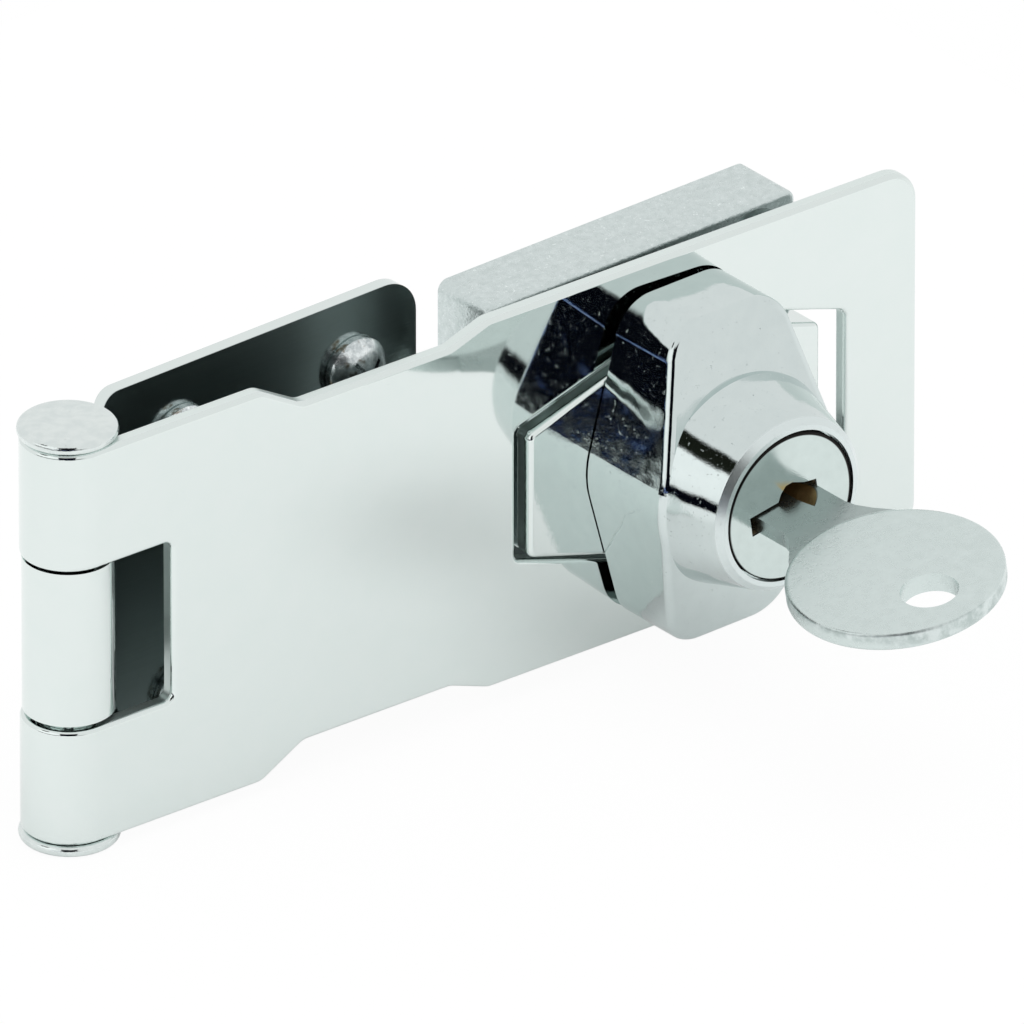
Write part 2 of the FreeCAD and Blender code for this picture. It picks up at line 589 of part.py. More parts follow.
def twist_knob():
    """Cast knob: six-sided grip, conical nose for the lock, and a hub that carries the bolt."""
    body = new_body("twist_knob")
    stand_up(body, STAPLE)
    long, end = f"({KNOB_LENGTH} / 2)", f"({KNOB_END} / 2)"
    side = f"({KNOB_END} / 2 + dims.slot_slope * 0.88 * {KNOB_LENGTH} / 2)"
    grip = outline(sketch(body, "grip_outline", lift=KNOB_BACK), [
        (f"-{end}", f"-{long}"), (end, f"-{long}"), (side, "0"), (end, long), (f"-{end}", long), (f"-{side}", "0")])
    raised = pad(body, "grip", grip, "dims.knob_depth")
    reach = worked_out(long)
    ends = soften(body, "grip_ends", raised, "dims.knob_corner",
                  lambda e: upright(e) and abs(abs(start_of(e).y) - reach) < 0.01)
    soften(body, "grip_sides", ends, "dims.knob_side",
           lambda e: upright(e) and abs(start_of(e).y) < 0.01)
    top, low = f"({KNOB_BACK} + dims.knob_depth)", f"({KNOB_BACK} + dims.knob_end_depth)"
    for label, sign in (("upper", ""), ("lower", "-")):
        slope = outline(sketch(body, label + "_slope", "YZ_Plane"), [
            (f"{sign}dims.knob_slope_start", top), (f"{sign}{long}", low),
            (f"{sign}({long} + 2)", low), (f"{sign}({long} + 2)", f"{top} + 2"),
            (f"{sign}dims.knob_slope_start", f"{top} + 2")])
        pocket(body, label + "_slope_cut", slope, "60", symmetric=True)
    doc.recompute()
    back = value("post_depth") + value("knob_clearance")
    front = back + value("knob_depth")
    crown = soften(body, "grip_crown", body.Tip, "dims.knob_crown",
                   lambda e: level_at(e, front) and e.BoundBox.YLength < 0.01)
    soften(body, "grip_front", crown, "dims.knob_edge",
           lambda e: e.BoundBox.ZMin > back + 1 and not upright(e)
           and (e.BoundBox.YLength > 0.01 or e.BoundBox.ZMax < front - 2))
    nose = outline(sketch(body, "nose_section", "XZ_Plane"), [
        ("0", f"{KNOB_BACK} + 1"), ("dims.nose_base", f"{KNOB_BACK} + 1"),
        ("dims.nose_base", f"{KNOB_BACK} + dims.nose_foot"), ("dims.nose_tip", f"{FACE} - dims.nose_edge"),
        ("dims.nose_tip - dims.nose_edge", FACE), ("0", FACE)])
    turn(body, "nose", nose)
    hub = circle(sketch(body, "hub", lift=FLANGE_FRONT), "dims.hub_radius")
    pad(body, "hub_pad", hub, f"{KNOB_BACK} - {FLANGE_FRONT} + 0.5")
    mouth = circle(sketch(body, "face_seat", lift=f"{FACE} + 1"), "dims.face_radius + dims.face_clearance")
    pocket(body, "face_seat_cut", mouth, f"1 + dims.face_thick + dims.plug_clearance")
    bore = circle(sketch(body, "plug_bore", lift=FACE), "dims.plug_radius + dims.plug_clearance")
    pocket(body, "plug_bore_cut", bore, f"{FACE} - {WEB_FRONT}")
    last = "(dims.wafer_first + (dims.wafer_count - 1) * dims.wafer_pitch + dims.wafer_thick / 2)"
    core_grooves(body, "wafer_groove", f"({SHOULDER} - 1.2)", f"{last} - 1.2 + 3 * dims.wafer_clearance")
    hole = circle(sketch(body, "tail_hole", lift=WEB_FRONT), "dims.tail_radius + dims.tail_clearance")
    pocket(body, "tail_hole_cut", hole, "dims.web_thick + 0.5")
    hollow = circle(sketch(body, "cam_hollow", lift=WEB_BACK), "dims.cavity_radius")
    pocket(body, "cam_hollow_cut", hollow, f"{WEB_BACK} - {FLANGE_FRONT}")
    channel = sketch(body, "bolt_channel", lift=CHANNEL_FRONT)
    wide = "(dims.bolt_width / 2 + dims.bolt_clearance)"
    box_outline(channel, f"-{wide}", wide, "-dims.hub_radius - 1", "dims.cavity_radius")
    pocket(body, "bolt_channel_cut", channel, f"{CHANNEL_FRONT} - {FLANGE_FRONT} + 0.5")
    threads = sketch(body, "hub_screw_holes", lift=FLANGE_FRONT)
    for sign in ("", "-"):
        circle(threads, "dims.small_screw + dims.screw_play", f"{sign}(dims.hub_radius * 0.78)",
               "dims.hub_radius * 0.2")
    pocket(body, "hub_screw_holes_cut", threads, "dims.screw_bite + 3 * dims.screw_play", reverse=True)
    return body


def knob_spindle():
    """Flange that closes the bolt's channel, with the stem that runs through the block."""
    stem = "dims.stem_radius"
    clip_front = "(dims.pocket_depth - 2 * dims.ring_thick - dims.ring_clearance)"
    clip_back = f"({clip_front} - dims.ring_thick - 2 * dims.ring_clearance)"
    body = turned("knob_spindle", [
        ("0", "dims.stem_end"), (f"{stem} - 0.4", "dims.stem_end"), (stem, "dims.stem_end + 0.4"),
        (stem, clip_back), (f"{stem} * 0.85", clip_back), (f"{stem} * 0.85", clip_front), (stem, clip_front),
        (stem, FLANGE_BACK),
        ("dims.hub_radius", FLANGE_BACK), ("dims.hub_radius", FLANGE_FRONT), ("0", FLANGE_FRONT)])
    holes = sketch(body, "flange_holes", lift=FLANGE_FRONT)
    for sign in ("", "-"):
        circle(holes, "dims.small_screw + dims.screw_play", f"{sign}(dims.hub_radius * 0.78)",
               "dims.hub_radius * 0.2")
    pocket(body, "flange_holes_cut", holes, "dims.flange_thick + 1")
    countersink(body, "flange_countersinks", value("seat_floor") + value("hub_clearance"),
                value("small_screw") + value("screw_play"), "dims.small_head")
    stand_up(body, STAPLE)
    return body


def spindle_screws():
    """Two countersunk screws that hold the flange to the hub, heads behind the flange."""
    screws = []
    for i, sign in enumerate(("", "-")):
        name = f"spindle_screw_{i + 1}"
        shank = doc.addObject("Part::Cylinder", name + "_shank")
        shank.setExpression("Radius", "dims.small_screw")
        shank.setExpression("Height", "dims.flange_thick + dims.screw_bite")
        head = doc.addObject("Part::Cone", name + "_head")
        head.setExpression("Radius1", "dims.small_screw + dims.small_head")
        head.setExpression("Radius2", "dims.small_screw")
        head.setExpression("Height", "dims.small_head")
        screw = doc.addObject("Part::Fuse", name)
        screw.Base = shank
        screw.Tool = head
        screw.setExpression("Placement.Base.x", f"{sign}(dims.hub_radius * 0.78)")
        screw.setExpression("Placement.Base.y", "dims.hub_radius * 0.2")
        screw.setExpression("Placement.Base.z", f"{FLANGE_BACK} + dims.screw_play")
        screws.append(screw)
    group = doc.addObject("Part::Compound", "spindle_screws")
    group.Label = "spindle_screws"
    group.Links = screws
    stand_up(group, STAPLE)
    return group


def split_ring(label, inner, outer, low, high, gap):
    """Flat ring from low to high, open on one side like a retaining clip when gap isn't zero."""
    body = turned(label, [(inner, low), (outer, low), (outer, high), (inner, high)])
    if gap != "0":
        mouth = box_outline(sketch(body, label + "_mouth", lift=f"{high} + 1"), f"-{gap}", gap, "0", f"{outer} + 1")
        pocket(body, label + "_mouth_cut", mouth, "4")
    stand_up(body, STAPLE)
    return body


def stem_rings():
    """Clip, washer and spring washer that hold the stem in the pocket behind the block."""
    inner = "dims.stem_radius + 0.15"
    washer_front = "(dims.pocket_depth - dims.ring_thick - dims.ring_clearance)"
    washer_back = f"({washer_front} - dims.ring_thick)"
    clip_front = f"({washer_back} - dims.ring_clearance)"
    clip = split_ring("spindle_clip", "dims.stem_radius * 0.85 + 0.02", "dims.stem_radius + 2",
                      f"({clip_front} - dims.ring_thick)", clip_front, "dims.stem_radius * 0.6")
    washer = split_ring("spindle_washer", inner, "dims.pocket_radius - 0.8", washer_back, washer_front, "0")
    spring = turned("spring_washer", [
        (inner, f"{washer_front} + dims.ring_clearance / 2"),
        (f"{inner} + 0.4", f"{washer_front} + dims.ring_clearance / 2"),
        ("dims.pocket_radius - 0.9", "dims.pocket_depth - 0.28"), ("dims.pocket_radius - 0.9", "dims.pocket_depth"),
        ("dims.pocket_radius - 1.3", "dims.pocket_depth"), (inner, f"{washer_front} + 0.34")])
    stand_up(spring, STAPLE)
    return [clip, washer, spring]


def wafer_middle(number):
    return f"({SHOULDER} - dims.wafer_first - {number} * dims.wafer_pitch)"


def lock_plug():
    """Plug with its face flange, keyway, wafer slots, spring pockets and grooved tail."""
    clip_back = f"({WEB_BACK} - dims.tail_clearance - dims.clip_thick - 0.05)"
    body = turned("lock_plug", [
        ("0", TAIL_END), ("dims.tail_radius", TAIL_END), ("dims.tail_radius", clip_back),
        ("dims.clip_groove", clip_back), ("dims.clip_groove", f"{WEB_BACK} - dims.tail_clearance + 0.05"),
        ("dims.tail_radius", f"{WEB_BACK} - dims.tail_clearance + 0.05"), ("dims.tail_radius", PLUG_BACK),
        ("dims.plug_radius", PLUG_BACK), ("dims.plug_radius", SHOULDER), ("dims.face_radius", SHOULDER),
        ("dims.face_radius", f"{FACE} - 0.15"), ("dims.face_radius - 0.15", FACE), ("0", FACE)])
    stand_up(body, STAPLE, value("key_angle"))
    low, top = "-(dims.blade_thick / 2 + dims.key_clearance)", "(dims.blade_thick / 2 + 2 * dims.key_clearance)"
    left = "(-dims.key_aside - dims.key_width / 2 - dims.keyway_room)"
    right = "(-dims.key_aside + dims.key_width / 2 + 2 * dims.key_clearance)"
    keyway = box_outline(sketch(body, "keyway", lift=FACE), left, right, low, top)
    pocket(body, "keyway_cut", keyway, "dims.blade_inside + 0.4")
    arch = outline(sketch(body, "keyway_arch", lift=FACE), [
        (f"{right} - 5.2", "0"), (right, "0"), (right, f"{top} + 0.25"), (f"{right} - 1.4", f"{top} + 0.6"),
        (f"{right} - 2.8", f"{top} + 1.3"), (f"{right} - 3.6", f"{top} + 1.3"), (f"{right} - 4.3", f"{top} + 0.7"),
        (f"{right} - 4.7", top)])
    pocket(body, "keyway_arch_cut", arch, "dims.blade_inside + 0.4")
    half = "(dims.wafer_half + dims.wafer_clearance)"
    for i in range(int(value("wafer_count"))):
        front = f"{wafer_middle(i)} + dims.wafer_thick / 2 + dims.wafer_clearance"
        slot = box_outline(sketch(body, f"wafer_slot_{i + 1}", lift=front),
                           "-dims.plug_radius - 1", "dims.plug_radius + 1", f"-{half}", half)
        pocket(body, f"wafer_slot_cut_{i + 1}", slot, "dims.wafer_thick + 2 * dims.wafer_clearance")
        nook = box_outline(sketch(body, f"spring_pocket_{i + 1}", lift=front),
                           "-0.9 - dims.spring_length", "0.3 + dims.wafer_throw", "0.5",
                           f"{half} + dims.wafer_ear + 0.1")
        pocket(body, f"spring_pocket_cut_{i + 1}", nook, "dims.wafer_thick + 2 * dims.wafer_clearance")
    thread = circle(sketch(body, "tail_thread", lift=TAIL_END), "dims.cam_hole")
    pocket(body, "tail_thread_cut", thread, "dims.thread_depth", reverse=True)
    return body


def wafer(number):
    """One wafer: a plate with a window for the key and an ear for its spring."""
    label = f"wafer_{number + 1}"
    body = new_body(label)
    stand_up(body, STAPLE, value("key_angle"))
    reach, half = "dims.wafer_reach", "dims.wafer_half"
    cut = "(dims.wafer_reach - 0.75)"
    plate = outline(sketch(body, label + "_outline", lift=wafer_middle(number)), [
        (f"-{reach}", "-1.6"), (f"-{cut}", f"-{half}"), (cut, f"-{half}"), (reach, "-1.6"), (reach, "1.6"),
        (cut, half), ("0.2", half), ("0.2", f"{half} + dims.wafer_ear"), ("-0.8", f"{half} + dims.wafer_ear"),
        ("-0.8", half), (f"-{cut}", half), (f"-{reach}", "1.6")])
    pad(body, label + "_plate", plate, "dims.wafer_thick", symmetric=True)
    opening = sketch(body, label + "_window", lift=f"{wafer_middle(number)} + dims.wafer_thick")
    edge = "(dims.key_width / 2 + dims.key_clearance)"
    thick = "(dims.blade_thick / 2 + dims.key_clearance * 2)"
    box_outline(opening, f"-dims.key_aside - {edge} - dims.wafer_throw", f"{edge} - dims.key_aside + 0.1",
                f"-{thick}", thick)
    pocket(body, label + "_window_cut", opening, "dims.wafer_thick * 2")
    return body


def wafer_springs():
    """One small spring beside each wafer's ear, drawn as its envelope."""
    springs = []
    for i in range(int(value("wafer_count"))):
        spring = doc.addObject("Part::Cylinder", f"wafer_spring_{i + 1}")
        spring.setExpression("Radius", "dims.spring_radius")
        spring.setExpression("Height", "dims.spring_length")
        spring.Placement.Rotation = Rotation(Vector(0, 1, 0), -90)
        spring.setExpression("Placement.Base.x", "-0.85")
        spring.setExpression("Placement.Base.y", "dims.wafer_half + dims.wafer_ear / 2")
        spring.setExpression("Placement.Base.z", wafer_middle(i))
        springs.append(spring)
    group = doc.addObject("Part::Compound", "wafer_springs")
    group.Label = "wafer_springs"
    group.Links = springs
    stand_up(group, STAPLE, value("key_angle"))
    return group


def plug_clip():
    """Open ring in the tail's groove, behind the knob's inner wall."""
    front = f"({WEB_BACK} - dims.tail_clearance)"
    return split_ring("plug_clip", "dims.clip_groove + 0.02", "dims.clip_radius",
                      f"({front} - dims.clip_thick)", front, "dims.clip_groove * 0.8")


def plug_cam():
    """Crank disc on the tail, with the pin that drives the bolt and a countersunk hole."""
    body = turned("plug_cam", [
        ("dims.cam_head", CAM_BACK), ("dims.cam_radius", CAM_BACK), ("dims.cam_radius", TAIL_END),
        ("dims.cam_hole", TAIL_END), ("dims.cam_hole", f"{CAM_BACK} + dims.cam_head - dims.cam_hole")])
    crank = circle(sketch(body, "crank", lift=f"{BOLT_BACK} + dims.bolt_clearance"),
                   "dims.crank_radius", "dims.bolt_throw", "0")
    pad(body, "crank_pin", crank, f"{CAM_BACK} - {BOLT_BACK}")
    stand_up(body, STAPLE)
    return body


def cam_screw():
    """Countersunk screw, flush with the crank disc."""
    play = "2 * dims.screw_play"
    shank, tip = f"dims.cam_hole - {play}", f"{TAIL_END} + dims.thread_depth * 0.9"
    body = turned("cam_screw", [
        ("0", CAM_BACK), (f"dims.cam_head - {play}", CAM_BACK), (shank, f"{CAM_BACK} + dims.cam_head - dims.cam_hole"),
        (shank, tip), ("0", tip)])
    stand_up(body, STAPLE)
    return body


def locking_bolt():
    """Flat bolt in the hub's channel; its cross slot takes the crank pin."""
    body = new_body("locking_bolt")
    stand_up(body, STAPLE)
    half = "dims.bolt_width / 2"
    low = f"-(sqrt(dims.hub_radius^2 - ({half})^2) - dims.bolt_clearance / 2)"
    high = "dims.cavity_radius - dims.bolt_clearance"
    plate = box_outline(sketch(body, "bolt_outline", lift=BOLT_BACK), f"-{half}", half, low, high)
    pad(body, "bolt_plate", plate, "dims.bolt_thick")
    slot = sketch(body, "crank_slot", lift=f"{BOLT_BACK} + dims.bolt_thick")
    box_outline(slot, "-dims.crank_radius - 0.15", f"{half} + 1",
                "-dims.crank_radius - 0.05 - dims.bolt_throw * 0.24", "dims.crank_radius + 0.05")
    pocket(body, "crank_slot_cut", slot, "dims.bolt_thick")
    return body


def lock_key():
    """Key with a round bow, a grooved blade and five cuts on its edge."""
    body = new_body("lock_key")
    stand_up(body, STAPLE, value("key_angle"))
    bow = circle(sketch(body, "bow_outline", "XZ_Plane"), "dims.bow_radius",
                 "-dims.bow_offset", f"{FACE} + dims.bow_reach")
    disc = pad(body, "bow", bow, "dims.key_thick", symmetric=True)
    soften(body, "bow_edges", disc, "dims.key_thick * 0.22", rim_of("bow_radius"))
    left, right = "(-dims.key_aside - dims.key_width / 2)", "(-dims.key_aside + dims.key_width / 2)"
    tip, nib = f"({FACE} - dims.blade_inside)", "dims.key_width * 0.3"
    blade = outline(sketch(body, "blade_outline", "XZ_Plane"), [
        (left, f"{FACE} + dims.bow_reach"), (left, f"{tip} + {nib}"), (f"{left} + {nib}", tip),
        (f"{right} - {nib}", tip), (right, f"{tip} + {nib}"), (right, f"{FACE} + dims.bow_reach")])
    pad(body, "blade", blade, "dims.blade_thick", symmetric=True)
    start, spread = f"{FACE} + dims.shoulder_start", "dims.shoulder_spread"
    inside = f"{FACE} + dims.bow_reach"
    widening = outline(sketch(body, "shoulder_outline", "XZ_Plane"), [
        (left, start), (f"{left} - {spread} * 0.1", f"{start} + {spread} * 0.36"),
        (f"{left} - {spread} * 0.43", f"{start} + {spread} * 0.79"), (f"{left} - {spread}", f"{start} + {spread} * 1.4"),
        (f"{left} - {spread}", inside), (f"{right} + {spread} * 0.8", inside),
        (f"{right} + {spread} * 0.8", f"{start} + {spread} * 1.86"),
        (f"{right} + {spread} * 0.35", f"{start} + {spread} * 1.14"),
        (f"{right} + {spread} * 0.09", f"{start} + {spread} * 0.57"), (right, f"{start} + {spread} * 0.14")])
    pad(body, "shoulder", widening, "dims.blade_thick", symmetric=True)
    eye = circle(sketch(body, "ring_eye", "XZ_Plane"), "dims.ring_hole", "-dims.bow_offset",
                 f"{FACE} + dims.bow_reach + dims.bow_radius - dims.ring_hole - dims.ring_wall")
    pocket(body, "ring_eye_cut", eye, "dims.key_thick * 2", symmetric=True)
    for i in range(int(value("wafer_count"))):
        depth = f"({right} - {0.5 + 0.4 * ((i * 2) % 3)})"
        bit = outline(sketch(body, f"bitting_{i + 1}", "XZ_Plane"), [
            (depth, f"{wafer_middle(i)} - 0.35"), (depth, f"{wafer_middle(i)} + 0.35"),
            (f"{right} + 0.3", f"{wafer_middle(i)} + 0.9"), (f"{right} + 0.3", f"{wafer_middle(i)} - 0.9")])
        pocket(body, f"bitting_cut_{i + 1}", bit, "dims.key_thick * 2", symmetric=True)
    side, foot = "dims.groove_side", "(dims.blade_thick / 2 - dims.groove_depth)"
    groove = outline(sketch(body, "blade_groove", lift=FACE), [
        (side, f"{foot} + dims.groove_depth + 0.1"), (f"{side} + 0.4", foot),
        (f"{side} + dims.groove_width", f"{foot} + dims.groove_depth + 0.1")])
    pocket(body, "blade_groove_cut", groove, "dims.blade_inside + 5")
    rise = f"({foot} + dims.cutter_radius)"
    cutter = outline(sketch(body, "cutter_section", lift=FACE, rise=rise), [
        (side, "-dims.cutter_radius + dims.groove_depth"), (f"{side} + 0.4", "-dims.cutter_radius"),
        (f"{side} + dims.groove_width", "-dims.cutter_radius + dims.groove_depth")])
    runout = body.newObject("PartDesign::Groove", "groove_end")
    runout.Profile = cutter
    runout.ReferenceAxis = (cutter, ["H_Axis"])
    runout.Angle = 360
    return body


pieces = [fixed_leaf(), leaf_screws(), hinge_pin(), hinge_cap(), hasp_leaf(), staple_base(), twist_knob(),
          knob_spindle(), spindle_screws(), *stem_rings(), lock_plug(), plug_clip(), plug_cam(), cam_screw(),
          wafer_springs(), locking_bolt(), lock_key()]
pieces += [wafer(i) for i in range(int(value("wafer_count")))]
doc.recompute()

failed = [item.Name for item in doc.Objects if "Invalid" in item.State or "Error" in item.State]
failed += [piece.Label for piece in pieces if piece.Shape.isNull() or not piece.Shape.isValid()]
if failed:
    raise RuntimeError("these objects failed: " + ", ".join(failed))

os.makedirs("parts", exist_ok=True)
for piece in pieces:
    piece.Shape.exportStep(os.path.join("parts", piece.Label + ".step"))
    print(piece.Label, len(piece.Shape.Solids), "solid(s)", round(piece.Shape.Volume, 1), "mm3")
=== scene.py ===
"""Keyed hasp lock in chrome, satin and brass finishes, seen as a catalogue photograph shows it.

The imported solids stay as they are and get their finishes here. The leaf screws and the wafer springs
are modelled again, with threads, driver recesses and wound wire.
"""
import json
import math

import bmesh
import bpy
from mathutils import Matrix, Vector

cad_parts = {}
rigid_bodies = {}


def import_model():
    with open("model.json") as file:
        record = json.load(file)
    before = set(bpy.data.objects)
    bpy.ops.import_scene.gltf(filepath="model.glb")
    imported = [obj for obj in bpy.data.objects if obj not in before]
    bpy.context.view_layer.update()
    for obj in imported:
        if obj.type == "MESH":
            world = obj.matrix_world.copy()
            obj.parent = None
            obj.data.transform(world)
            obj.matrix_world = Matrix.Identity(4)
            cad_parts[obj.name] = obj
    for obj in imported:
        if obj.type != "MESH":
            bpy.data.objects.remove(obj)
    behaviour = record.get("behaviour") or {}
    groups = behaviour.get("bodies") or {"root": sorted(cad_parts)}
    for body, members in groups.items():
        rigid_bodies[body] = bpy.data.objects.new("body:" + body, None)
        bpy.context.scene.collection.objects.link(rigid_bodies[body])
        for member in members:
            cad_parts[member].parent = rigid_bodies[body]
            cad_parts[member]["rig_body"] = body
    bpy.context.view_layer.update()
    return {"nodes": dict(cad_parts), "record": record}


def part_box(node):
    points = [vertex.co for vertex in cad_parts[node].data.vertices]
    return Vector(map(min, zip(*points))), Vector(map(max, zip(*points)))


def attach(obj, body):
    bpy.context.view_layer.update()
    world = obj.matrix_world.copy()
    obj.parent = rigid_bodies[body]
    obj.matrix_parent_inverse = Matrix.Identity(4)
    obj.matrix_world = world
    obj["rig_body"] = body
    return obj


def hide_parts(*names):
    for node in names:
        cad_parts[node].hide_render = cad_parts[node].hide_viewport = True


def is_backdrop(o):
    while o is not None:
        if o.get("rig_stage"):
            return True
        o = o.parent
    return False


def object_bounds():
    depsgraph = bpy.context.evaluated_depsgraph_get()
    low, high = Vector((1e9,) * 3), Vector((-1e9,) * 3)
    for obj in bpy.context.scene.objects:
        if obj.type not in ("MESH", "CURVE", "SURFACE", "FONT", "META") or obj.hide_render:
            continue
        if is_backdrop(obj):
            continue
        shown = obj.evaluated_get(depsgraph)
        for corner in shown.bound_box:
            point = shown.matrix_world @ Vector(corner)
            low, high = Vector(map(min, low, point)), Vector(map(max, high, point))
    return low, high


MM = 0.001

# Places in millimetres and the key's turn, as the solids have them.
BARREL_X, BARREL_Y = -26.35, -4.4
KNOB_X, KNOB_Z = 40.75, 0.0
PLUG_X, PLUG_Z = 40.65, -0.08
BOW_X, BOW_Y = 39.27, -46.0
KEY_TURN = math.radians(8.7)
SPRING_X, SPRING_Z = 38.114, 2.682
LEAF_LEAN, LEAF_FRONT = 0.0402, 10.06
BLOCK_FACE, NOSE_RIM = 7.4, 28.2
# How far left and how high the camera stands.
VIEW_LEFT, VIEW_UP = math.radians(39.77), math.radians(28.42)

for item in list(bpy.data.objects):
    bpy.data.objects.remove(item)
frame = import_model()


class Value:
    """A shader socket that can stand in an expression."""

    def __init__(self, tree, socket):
        self.tree = tree
        self.socket = socket

    def math(self, operation, *values):
        return self.tree.node("ShaderNodeMath", {"operation": operation}, dict(enumerate(values)))

    def __add__(self, other):
        return self.math("ADD", self, other)

    def __sub__(self, other):
        return self.math("SUBTRACT", self, other)

    def __rsub__(self, other):
        return self.math("SUBTRACT", other, self)

    def __mul__(self, other):
        return self.math("MULTIPLY", self, other)

    __radd__ = __add__
    __rmul__ = __mul__

    def between(self, low, high):
        """0 below low, 1 above high, and a smooth rise between them."""
        return self.tree.node("ShaderNodeMapRange", {"interpolation_type": "SMOOTHSTEP"},
                              {"Value": self, "From Min": low, "From Max": high})

    def size(self):
        return self.math("ABSOLUTE", self)

    def root(self):
        return self.math("SQRT", self)


class Tree:
    """The node tree of a material or of the world."""

    def __init__(self, owner):
        owner.use_nodes = True
        self.nodes = owner.node_tree.nodes
        self.links = owner.node_tree.links
        self.nodes.clear()

    def node(self, kind, settings=None, sockets=None, output=0):
        """Add a node; sockets holds a number, a colour or a Value for each input by name or place."""
        made = self.nodes.new(kind)
        for name, setting in (settings or {}).items():
            setattr(made, name, setting)
        for name, value in (sockets or {}).items():
            if isinstance(value, Value):
                self.links.new(value.socket, made.inputs[name])
            else:
                made.inputs[name].default_value = value
        return Value(self, made.outputs[output]) if len(made.outputs) else None

    def place(self, stretch=(1, 1, 1)):
        """Where a point lies on the lock, in millimetres, each axis multiplied by its stretch."""
        where = self.node("ShaderNodeTexCoord", output="Object")
        return self.node("ShaderNodeMapping", {}, {"Vector": where, "Scale": [1000 * s for s in stretch]})

    def noise(self, scale, detail=3.0, stretch=(1, 1, 1), rough=0.55):
        return self.node("ShaderNodeTexNoise", {}, {
            "Vector": self.place(stretch), "Scale": scale, "Detail": detail, "Roughness": rough})

    def colour(self, amount, low, high):
        """A colour from low to high as amount goes from 0 to 1; each may be a Value."""
        low, high = (c if isinstance(c, Value) else (*c, 1) for c in (low, high))
        sockets = {"Factor": amount, 6: low, 7: high}
        return self.node("ShaderNodeMix", {"data_type": "RGBA"}, sockets, output=2)

    def along(self, axis):
        """The place along one axis, in millimetres."""
        return self.node("ShaderNodeSeparateXYZ", {}, {0: self.place()}, output="XYZ".index(axis))

    def ray(self, kind):
        """1 for a ray of the kind Camera, Glossy or Transmission, else 0."""
        return self.node("ShaderNodeLightPath", output=f"Is {kind} Ray")

    def away_from(self, **centre):
        """Distance in millimetres from the line along one axis that two coordinates give."""
        squares = None
        for axis, middle in centre.items():
            step = self.along(axis) - middle
            squares = step * step if squares is None else squares + step * step
        return squares.root()


def finish(name, build):
    """Make a finish from what build returns.

    That is its colour, roughness, bump height, the bump's depth in millimetres and, where it isn't all
    metal, how metallic it is.
    """
    material = bpy.data.materials.new(name)
    tree = Tree(material)
    colour, roughness, height, depth, *rest = build(tree)
    metallic = rest[0] if rest else 1.0
    bump = tree.node("ShaderNodeBump", {}, {"Height": height, "Strength": 1.0, "Distance": depth * MM})
    shader = tree.node("ShaderNodeBsdfPrincipled", {}, {
        "Base Color": colour, "Roughness": roughness, "Metallic": metallic, "Normal": bump})
    tree.node("ShaderNodeOutputMaterial", {}, {"Surface": shader})
    return material


CHROME = (0.75, 0.805, 0.79)
CHROME_DEEP = (0.72, 0.79, 0.77)
SATIN = (0.70, 0.77, 0.765)
SATIN_DULL = (0.55, 0.62, 0.61)
NICKEL = (0.66, 0.75, 0.73)
NICKEL_DULL = (0.55, 0.63, 0.61)
ZINC = (0.62, 0.65, 0.66)
ZINC_DULL = (0.47, 0.50, 0.50)
STEEL_DARK = (0.26, 0.27, 0.28)
STEEL_GREY = (0.40, 0.41, 0.43)
BRASS = (0.80, 0.60, 0.30)
BRASS_DULL = (0.46, 0.31, 0.13)
SHEARED = (0.75, 0.82, 0.80)
BACK_PAINTED_SHADE = (0.37, 0.415, 0.41)
# Tones of the fixed leaf's flat and the key's blade: partly their plating, partly painted shade.
PLATE_AND_PAINTED_SHADE_DULL = (0.36, 0.415, 0.41)
PLATE_AND_PAINTED_SHADE_BRIGHT = (0.46, 0.525, 0.515)
SCREW_DULL = (0.44, 0.49, 0.50)
SCREW_RUBBED = (0.92, 0.97, 0.97)
SCREW_STAIN_AND_PAINTED_REFLECTION = (0.20, 0.17, 0.12)
CAP_DULL = (0.69, 0.75, 0.74)
CAST_DULL = (0.60, 0.67, 0.665)
CAST_BRIGHT = (0.665, 0.735, 0.725)
SPARK = (0.85, 0.92, 0.91)
KEYWAY_DULL = (0.10, 0.078, 0.05)
KEYWAY_BRASS = (0.34, 0.26, 0.15)
GAP_PAINTED_SHADE = (0.015, 0.014, 0.013)
TUMBLED_DULL = (0.48, 0.555, 0.54)
TUMBLED = (0.70, 0.77, 0.76)
BOW_DULL = (0.56, 0.635, 0.62)
BOW_BRIGHT = (0.72, 0.80, 0.785)
BLADE_FINISH_AND_PAINTED_REFLECTION_DULL = (0.36, 0.415, 0.405)
PAPER_DULL = (0.90, 0.90, 0.90)
PAPER = (0.93, 0.93, 0.93)


def bright_sheet(tree):
    """Plated sheet: mirror bright, with faint waves and a few fine pits."""
    waves = tree.noise(0.05, 1.0)
    grain = tree.noise(9.0, 2.0)
    pits = tree.noise(1.6, 4.0, rough=0.7).between(0.70, 0.78)
    colour = tree.colour(tree.noise(0.35), CHROME_DEEP, CHROME)
    return colour, 0.03 + 0.03 * grain + 0.2 * pits, waves * 5.0 + grain * 0.01 - pits * 0.25, 0.02


def slotted_sheet(tree):
    """The hasp's sheet: mirror bright in front, satin on its sheared edges, with painted shade darkening
    its back.
    """
    colour, rough, height, depth = bright_sheet(tree)
    deep = tree.along("Y") + LEAF_LEAN * tree.along("X") + LEAF_FRONT
    flat = tree.along("X").between(BARREL_X + 0.05, BARREL_X + 0.15) * deep.between(1.9, 1.8)
    # painted shade: the back of the sheet is darkened so that the fixed leaf, which mirrors it, reads dark
    behind = flat * deep.between(1.50, 1.56)
    sheared = flat * deep.between(0.36, 0.46)
    brushed = tree.noise(1.0, 3.0, stretch=(0.12, 1, 3))
    colour = tree.colour(sheared, colour, SHEARED)
    colour = tree.colour(behind, colour, BACK_PAINTED_SHADE)
    return colour, rough + sheared * 0.32 + behind * 0.1 * brushed, height + sheared * brushed, depth


